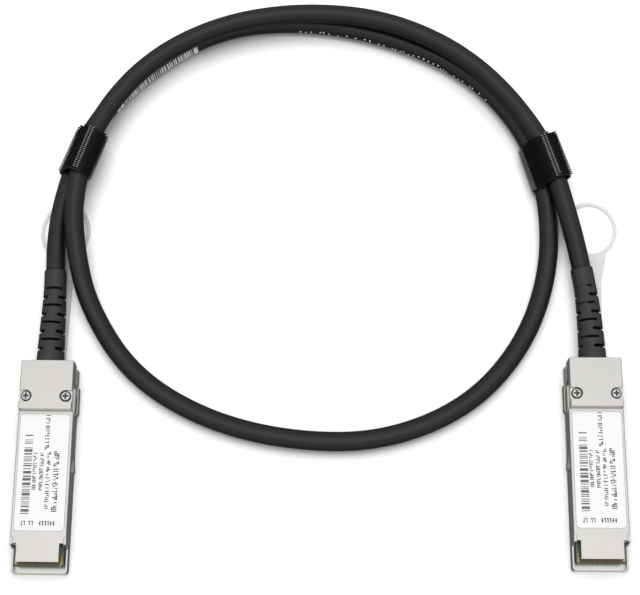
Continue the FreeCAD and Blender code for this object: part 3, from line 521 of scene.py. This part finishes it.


# ---------------------------------------------------------------- screws
# Two M1.6 pan head screws with a cross recess, cold headed, nickel plated and bright. They pull
# the lid down on the tray; the head's side, its cross and a black ring below are painted shade.
bright = solid_finish("bright screw plating", (.74, .74, .75), (.86, .86, .87), .2, .001,
                      Metallic=1.0)
# A dark finish used for painted shade in the screw wells.
well_shade = solid_finish("black painted shade in the screw well", (.035, .032, .030), (.07, .064, .060), .4, .001)
SCREW_AT, SCREW_ACROSS, WELL_FLOOR = .0576, .0066, .0099
HEAD_TOP, HEAD_RADIUS, HEAD_DOME, HEAD_RINGS, HEAD_SPOKES = .0109, .001525, .00012, 15, 64
HEAD_RIM = [(1.0, -.0010), (1.0, -.0003), (.97, -.00012), (.9, -.00003)]
CROSS_HALF, CROSS_REACH, CROSS_DEPTH = .20, .68, .00045    # the first two are shares of a radius
CROSS_SHADE = HEAD_TOP - .0008, HEAD_TOP - .00024          # the heights painted dark as shade in the well
SHADE_RING_BORE, SHADE_RING_RADIUS, SHADE_RING_SPOKES = .0009, .00178, 48
SHADE_RING_LEVELS = WELL_FLOOR + .00001, WELL_FLOOR + .00040


def clamped(share):
    """A share kept between 0 and 1."""
    return max(0.0, min(1.0, share))


def screw_net(net, side, across):
    """A domed head with a tapered cross recess, drawn as rings that dip at the cross."""
    start = len(net.faces)
    rings = HEAD_RIM + [(.9 - .9 * k / HEAD_RINGS, 0) for k in range(1, HEAD_RINGS)]
    grid = []
    for share, drop in rings:
        ring = []
        for k in range(HEAD_SPOKES):
            turn = 2 * math.pi * k / HEAD_SPOKES + .6
            x, y = math.cos(turn) * share, math.sin(turn) * share
            arm, reach = sorted((abs(x), abs(y)))
            inside = clamped((CROSS_HALF - arm) / .06) * clamped((CROSS_REACH - reach) / .1)
            dip = CROSS_DEPTH * inside * (1 - .4 * reach)
            ring.append(net.verts.new(on_plug(
                side, SCREW_AT + x * HEAD_RADIUS, across + y * HEAD_RADIUS,
                HEAD_TOP + drop - dip - HEAD_DOME * share ** 2)))
        grid.append(ring)
    skin(net, grid)
    net.faces.new(grid[-1])
    net.faces.new(grid[0][::-1])
    net.faces.ensure_lookup_table()
    # Faces between these heights, on the head's side and the floor of its cross, are painted dark
    # as shade.
    for face in net.faces[start:]:
        if CROSS_SHADE[0] < face.calc_center_median().z < CROSS_SHADE[1]:
            face.material_index = 1


def shade_ring_net(net, side, across):
    """A black ring under the head, which is painted shade in the screw's well."""
    low, high = SHADE_RING_LEVELS
    loops = []
    for radius, up in ((SHADE_RING_BORE, low), (SHADE_RING_RADIUS, low), (SHADE_RING_RADIUS, high),
                       (SHADE_RING_BORE, high)):
        turns = [2 * math.pi * k / SHADE_RING_SPOKES for k in range(SHADE_RING_SPOKES)]
        loops.append([net.verts.new(on_plug(
            side, SCREW_AT + math.cos(turn) * radius, across + math.sin(turn) * radius, up))
            for turn in turns])
    skin(net, loops + loops[:1], 1)


for side in PLUGS:
    net = bmesh.new()
    for across in (-SCREW_ACROSS, SCREW_ACROSS):
        screw_net(net, side, across)
        shade_ring_net(net, side, across)
    heads = show(side + "_screw_heads", mesh_of(side + "_screw_heads", net), bright)
    heads.data.materials.append(well_shade)
    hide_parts(side + "_screws")


# ---------------------------------------------------------------- boots
# Strain reliefs moulded from soft black elastomer. Each tapers to a plain collar and is cut by
# four wide slots above and below and four short ones at each side, so it bends with the cable.
boot_skin = Finish("black boot elastomer", Specular_IOR_Level=0.8)
pores = boot_skin.noise(0.00014)
boot_skin.set(Base_Color=boot_skin.blend(boot_skin.noise(0.006), tone(.012, .012, .0125),
                                         tone(.019, .019, .0195)),
              Roughness=0.46 + 0.12 * pores,
              Normal=boot_skin.relief(pores, 0.00002, 0.5))
slot_floor = solid_finish("unlit slot floor", (.0015, .0015, .0015), (.003, .003, .003), .75,
                          Specular_IOR_Level=0.1)
BOOT_LENGTH, COLLAR_LENGTH, BASE_RADIUS, TIP_RADIUS = .0324, .0064, .0047, .0038
BORE_RADIUS, CORE_RADIUS, SLOT_PITCH = CABLE_DIAMETER / 2 + .00003, .00338, .00597
LIP, LIP_DROP = .0005, .0003                   # the rounded lip at the far end
# Where each slot's middle is, half its width, how far it reaches and the turn of its middle.
SLOTS = [(.00745 + k * SLOT_PITCH, .00042, math.radians(56), 90) for k in range(4)]
SLOTS += [(.0043 + k * SLOT_PITCH, .00055, math.radians(64), 0) for k in range(4)]
BOOT_ROLL = {"left": 0.0, "right": math.radians(-25)}
BOOT_SPOKES = 128


def boot_radius(distance, turn):
    """How far the boot's skin lies from the cable's centre. The turn starts at one side."""
    taper = min(1.0, distance / (BOOT_LENGTH - COLLAR_LENGTH))
    outer = BASE_RADIUS + (TIP_RADIUS - BASE_RADIUS) * taper
    outer -= LIP_DROP * max(0.0, (distance - BOOT_LENGTH + LIP) / LIP) ** 2
    for middle, half, reach, start in SLOTS:
        off = abs(distance - middle) / half
        if off < 1:
            swing = abs((turn - math.radians(start) + math.pi / 2) % math.pi - math.pi / 2)
            rounding = (1 - math.sqrt(1 - off ** 2)) * half / BASE_RADIUS
            return outer + (CORE_RADIUS - outer) * clamped(
                (reach - rounding - swing) / math.radians(3))
    return outer


stations = {0.0, BOOT_LENGTH, BOOT_LENGTH - LIP / 2, BOOT_LENGTH - LIP,
            BOOT_LENGTH - COLLAR_LENGTH}
for middle, half, _, _ in SLOTS:
    for share in (-1.04, -.96, -.7, 0, .7, .96, 1.04):
        stations.add(round(middle + half * share, 6))
stations |= {round(.001 * k + .0004, 6) for k in range(32)}
STATIONS = sorted(stations)


def boot_ring(net, side, walked, radius_of):
    """A ring of vertices round the cable, this far along it from its end in the plug."""
    point, _, level, up = run.at(walked if side == "left" else run.length - walked)
    if side == "right":
        level = -level
    ring = []
    for k in range(BOOT_SPOKES):
        turn = 2 * math.pi * k / BOOT_SPOKES
        spin = turn + BOOT_ROLL[side]
        ring.append(net.verts.new(point + (level * math.cos(spin) + up * math.sin(spin))
                                  * radius_of(turn)))
    return ring


for side in PLUGS:
    net = bmesh.new()
    cable_end = CENTRELINE[0] if side == "left" else CENTRELINE[-1]
    start = (on_plug(side, REAR_FACE, 0, ROUTE[0][2]) - cable_end).length
    grid = [boot_ring(net, side, start + distance, lambda turn: boot_radius(distance, turn))
            for distance in STATIONS]
    grid += [boot_ring(net, side, start + distance, lambda turn: BORE_RADIUS)
             for distance in (BOOT_LENGTH, BOOT_LENGTH / 2, 0)]
    for row, (outer, inner) in enumerate(zip(grid, grid[1:] + grid[:1])):
        for k in range(BOOT_SPOKES):
            n = (k + 1) % BOOT_SPOKES
            patch = net.faces.new([outer[k], outer[n], inner[n], inner[k]])
            if row < len(STATIONS) - 1:        # the floors of the slots lie deep
                turn = 2 * math.pi * (k + .5) / BOOT_SPOKES
                middle = (STATIONS[row] + STATIONS[row + 1]) / 2
                patch.material_index = int(boot_radius(middle, turn) < CORE_RADIUS + .0003)
    boot = show(side + "_boot_moulding", mesh_of(side + "_boot_moulding", net),
                boot_skin.material)
    boot.data.materials.append(slot_floor)
    boot.data.set_sharp_from_angle(angle=math.radians(40))
    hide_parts(side + "_boot")


# ---------------------------------------------------------------- release slide and pull tab
# The slide is stamped from spring-hard stainless strip. The tab is moulded in one piece from a
# clear, slightly cloudy thermoplastic: a grip over the slide's bridge, a flat strap and a ring.
strip = Finish("bright stamped steel", Metallic=1.0)
streak = strip.noise(0.0004, (1, .04, 1))
strip.set(Base_Color=strip.blend(streak, tone(.44, .43, .42), tone(.60, .59, .57)),
          Roughness=0.24 + 0.14 * streak,
          Normal=strip.relief(streak, 0.00001, 0.4, worn_edge(strip, 0.00012)))

clear = Finish("clear moulded plastic", Roughness=0.14, Alpha=0.32)
haze = clear.noise(0.003)
clear.set(Base_Color=clear.blend(haze, tone(.60, .61, .62), tone(.70, .71, .72)),
          Normal=clear.relief(haze, 0.00002, 0.3, worn_edge(clear, 0.0003)))
for side in PLUGS:
    coat(side + "_release_slide", strip.material)
    coat(side + "_pull_tab", clear.material)


# ---------------------------------------------------------------- return springs
# Two compression springs in each plug, wound from round music wire. They stand between the
# slide's ears and the tray, and close up when the tab is pulled.
music_wire = solid_finish("music wire", (.45, .45, .47), (.62, .62, .64), .2, Metallic=1.0)
SPRING_FROM, SPRING_TO, SPRING_ACROSS, SPRING_UP = .0555, .0598, .0072, .0029
COIL_RADIUS, COIL_TURNS, COIL_STEPS = .0008, 4, 24
WIRE_RADIUS, WIRE_FACETS, SLIDE_TRAVEL = .00015, 8, .0025
for side in PLUGS:
    net = bmesh.new()
    steps = COIL_TURNS * COIL_STEPS
    for across in (-SPRING_ACROSS, SPRING_ACROSS):
        wire = []
        for k in range(steps + 1):
            turn = 2 * math.pi * k / COIL_STEPS
            along = SPRING_FROM + (SPRING_TO - SPRING_FROM) * k / steps
            ring = []
            for m in range(WIRE_FACETS):
                roll = 2 * math.pi * m / WIRE_FACETS
                out = COIL_RADIUS + WIRE_RADIUS * math.cos(roll)
                ring.append(net.verts.new(on_plug(
                    side, along + WIRE_RADIUS * math.sin(roll), across + out * math.cos(turn),
                    SPRING_UP + out * math.sin(turn))))
            wire.append(ring)
        skin(net, wire)
        net.faces.new(wire[0])
        net.faces.new(wire[-1])                # both ends of the wire are cut square
    coils = show(side + "_coil_springs", mesh_of(side + "_coil_springs", net), music_wire)
    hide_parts(side + "_return_springs")
    whole = SPRING_TO - SPRING_FROM + 2 * WIRE_RADIUS
    on_plug(side, SPRING_TO + WIRE_RADIUS, 0, SPRING_UP)
    (whole - SLIDE_TRAVEL - .00001) / whole
    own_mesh(coils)


# ---------------------------------------------------------------- hook straps
# Short lengths of black moulded hook tape, wrapped round the two cable runs with the hooks
# outward and lapped on themselves. The hooks stand in straight rows along the cable.
tape = Finish("black hook tape", Specular_IOR_Level=0.3)
fuzz = tape.noise(0.0003)
tape.set(Base_Color=tape.blend(fuzz, tone(.0035, .0035, .0035), tone(.007, .007, .007)),
         Roughness=0.30 + 0.16 * fuzz)
# A pale finish for painted highlights on the hook tips.
hook_sheen = solid_finish("hook tips painted light as sheen", (.10, .10, .102), (.20, .20, .202), .3, .0004)
STRAP_LENGTH, BAND_RADIUS, BAND_WALL, BAND_STEPS = .0163, .0045, .0005, 96
HOOK_PITCH, ROW_PITCH, HOOK_HEIGHT = .00076, .00095, .00080
# Up a hook from its root: the height, the lean, half its width and half its depth.
HOOK_PROFILE = ((-.0001, 0, .00026, .00030), (.00030, 0, .00023, .00018),
                (.00056, .00003, .00020, .00030), (HOOK_HEIGHT, .00004, .00017, .00036))
LOW_PULL, LOW_SKEW = .0006, .03                # the band sits tight on the lower run
ROW_SLANT = .30                                # and its hook rows climb as they go round
# Each strap's middle, its heading, how far apart the two runs lie and their two heights.
STRAPS = {"left": ((-.08483, .07961), 70.5, .00342, .00484, .0113),
          "right": ((.07697, .07629), 108.0, .00389, .00474, .0108)}


def band_outline(offset, low, high, radius, count):
    """Points and outward directions all the way round two cable runs, and the way's length."""
    pull = math.copysign(LOW_PULL, offset)
    centres = (Vector((0, offset / 2 - pull, low)), Vector((0, -offset / 2, high)))
    axis = (centres[1] - centres[0]).normalized()
    side = Vector((1, 0, 0)).cross(axis)
    flank = (centres[1] - centres[0]).length
    whole = 2 * flank + 2 * math.pi * radius
    found = []
    for k in range(count):
        walked = whole * k / count
        if walked < flank:
            found.append((centres[0] + side * radius + axis * walked, side))
        elif walked < flank + math.pi * radius:
            turn = (walked - flank) / radius
            out = side * math.cos(turn) + axis * math.sin(turn)
            found.append((centres[1] + out * radius, out))
        elif walked < 2 * flank + math.pi * radius:
            found.append((centres[1] - side * radius
                          - axis * (walked - flank - math.pi * radius), -side))
        else:
            turn = (walked - 2 * flank - math.pi * radius) / radius
            out = -side * math.cos(turn) - axis * math.sin(turn)
            found.append((centres[0] + out * radius, out))
    return found, whole


for side, ((x, y), heading, offset, low, high) in STRAPS.items():
    place = Matrix.Translation((x, y, 0)) @ Matrix.Rotation(math.radians(heading), 4, "Z")
    net = bmesh.new()

    def skewed(point):
        """Draws the band's lower half in where the two runs close up."""
        low_share = clamped((high - point.z) / (high - low))
        shift = LOW_SKEW * (point.x + STRAP_LENGTH / 2) * low_share
        return point - Vector((0, math.copysign(shift, offset), 0))

    loops = []
    for radius, along in ((BAND_RADIUS, -.5), (BAND_RADIUS, .5),
                          (BAND_RADIUS - BAND_WALL, .5), (BAND_RADIUS - BAND_WALL, -.5)):
        points, _ = band_outline(offset, low, high, radius, BAND_STEPS)
        loops.append([net.verts.new(place @ skewed(point + Vector((STRAP_LENGTH * along, 0, 0))))
                      for point, _ in points])
    skin(net, loops + loops[:1])
    _, whole = band_outline(offset, low, high, BAND_RADIUS, BAND_STEPS)
    points, _ = band_outline(offset, low, high, BAND_RADIUS, int(whole / ROW_PITCH))
    rows = int(STRAP_LENGTH / HOOK_PITCH)
    inward = -math.copysign(1, x)
    lie = place.to_3x3()
    # The two rows facing most nearly up and a little inward, and the hooks on the inner lower
    # flank, get tips painted light as a painted highlight.
    crest = sorted(points, key=lambda spot: -(lie @ spot[1]).dot(Vector((.12 * inward, 0, 1))))[:2]
    for root, out in points:
        around_way = Vector((1, 0, 0)).cross(out).normalized()
        if root.z + out.z * HOOK_HEIGHT < .0002:
            continue                           # the hooks are crushed flat under the band
        flank = root.z < (low + high) / 2 and (lie @ out).x * inward > .6
        for k in range(rows):
            along = (k * HOOK_PITCH - ROW_SLANT * root.z) % (rows * HOOK_PITCH)
            centre = root + Vector((along - (rows - 1) * HOOK_PITCH / 2, 0, 0))
            hook = []
            for rise, lean, wide, deep in HOOK_PROFILE:
                spot = centre + out * rise + around_way * lean
                hook.append([net.verts.new(place @ skewed(spot + Vector((wide * i, 0, 0))
                                                          + around_way * j * deep))
                             for i, j in ((-1, -1), (1, -1), (1, 1), (-1, 1))])
            skin(net, hook[:2])
            skin(net, hook[1:], int(flank))
            tip = net.faces.new(hook[-1])
            tip.material_index = int((root, out) in crest or flank)
            net.faces.new(hook[0][::-1])
    strap = show(side + "_hook_band", mesh_of(side + "_hook_band", net), tape.material,
                 smooth=False)
    strap.data.materials.append(hook_sheen)
    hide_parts(side + "_hook_strap")

on_plug("left", REAR_FACE, 0, ROUTE[0][2])


# ---------------------------------------------------------------- table, light and camera
# A plain white sweep, a soft dome that is brightest overhead, one wide lamp behind the loop, and
# a camera that looks down on the part with its top leaning back.
sweep = Finish("white sweep", Roughness=0.9)
sweep.set(Base_Color=sweep.blend(sweep.noise(0.3), tone(.93, .93, .93), tone(.95, .95, .95)))
SWEEP_HALF = 30
corners = [(SWEEP_HALF * x, SWEEP_HALF * y, 0) for x, y in ((-1, -1), (1, -1), (1, 1), (-1, 1))]
floor_mesh = bpy.data.meshes.new("sweep")
floor_mesh.from_pydata(corners, [], [(0, 1, 2, 3)])
floor_mesh.materials.append(sweep.material)
floor = bpy.data.objects.new("sweep", floor_mesh)
bpy.context.scene.collection.objects.link(floor)
floor.visible_glossy = False                   # the dome's dark lower half shades the walls

LAMP_PLACE, LAMP_AIM, LAMP_SIZE, LAMP_POWER = Vector((0, .40, .92)), Vector((0, .03, 0)), .95, 9.5
lamp = bpy.data.lights.new("behind_the_loop", "AREA")
lamp.shape, lamp.size, lamp.energy = "DISK", LAMP_SIZE, LAMP_POWER
holder = bpy.data.objects.new("behind_the_loop", lamp)
holder.location = LAMP_PLACE
holder.rotation_euler = (LAMP_AIM - LAMP_PLACE).to_track_quat("-Z", "Y").to_euler()
holder.visible_glossy = False                  # it lights the part, and only the dome shows in it
bpy.context.scene.collection.objects.link(holder)

# The dome's glow, from straight down at 0, over the horizon at a half, to straight up at 1.
SKY = ((0, .15), (.485, .17), (.5, .52), (.75, .43), (.9, .55), (.975, .90), (1, 1.24))


class Dome(Finish):
    """The light all round the table, mixed from nodes as a finish is."""

    def __init__(self, name):
        self.begin(bpy.data.worlds.new(name), "Background", "OutputWorld", {"Strength": 1.0})


dome = Dome("studio_dome")
rise = dome.value("SeparateXYZ", None, {0: dome.value("TexCoord", output="Generated")}, "Z")
glow = dome.value("ValToRGB", {"stops": [(place, tone(level, level, level))
                                         for place, level in SKY]}, {0: 0.5 + 0.5 * rise})
bpy.context.scene.world = dome.set(Color=glow)
bpy.context.scene.view_settings.view_transform = "Standard"

lens = bpy.data.cameras.new("camera")
lens.lens, lens.sensor_width, lens.clip_start = 78.75, 36.0, .01
camera = bpy.data.objects.new("camera", lens)
camera.location = (-.0014, -.09485, .4693)
camera.rotation_euler = (math.radians(14.9), 0, 0)
bpy.context.scene.collection.objects.link(camera)
bpy.context.scene.camera = camera
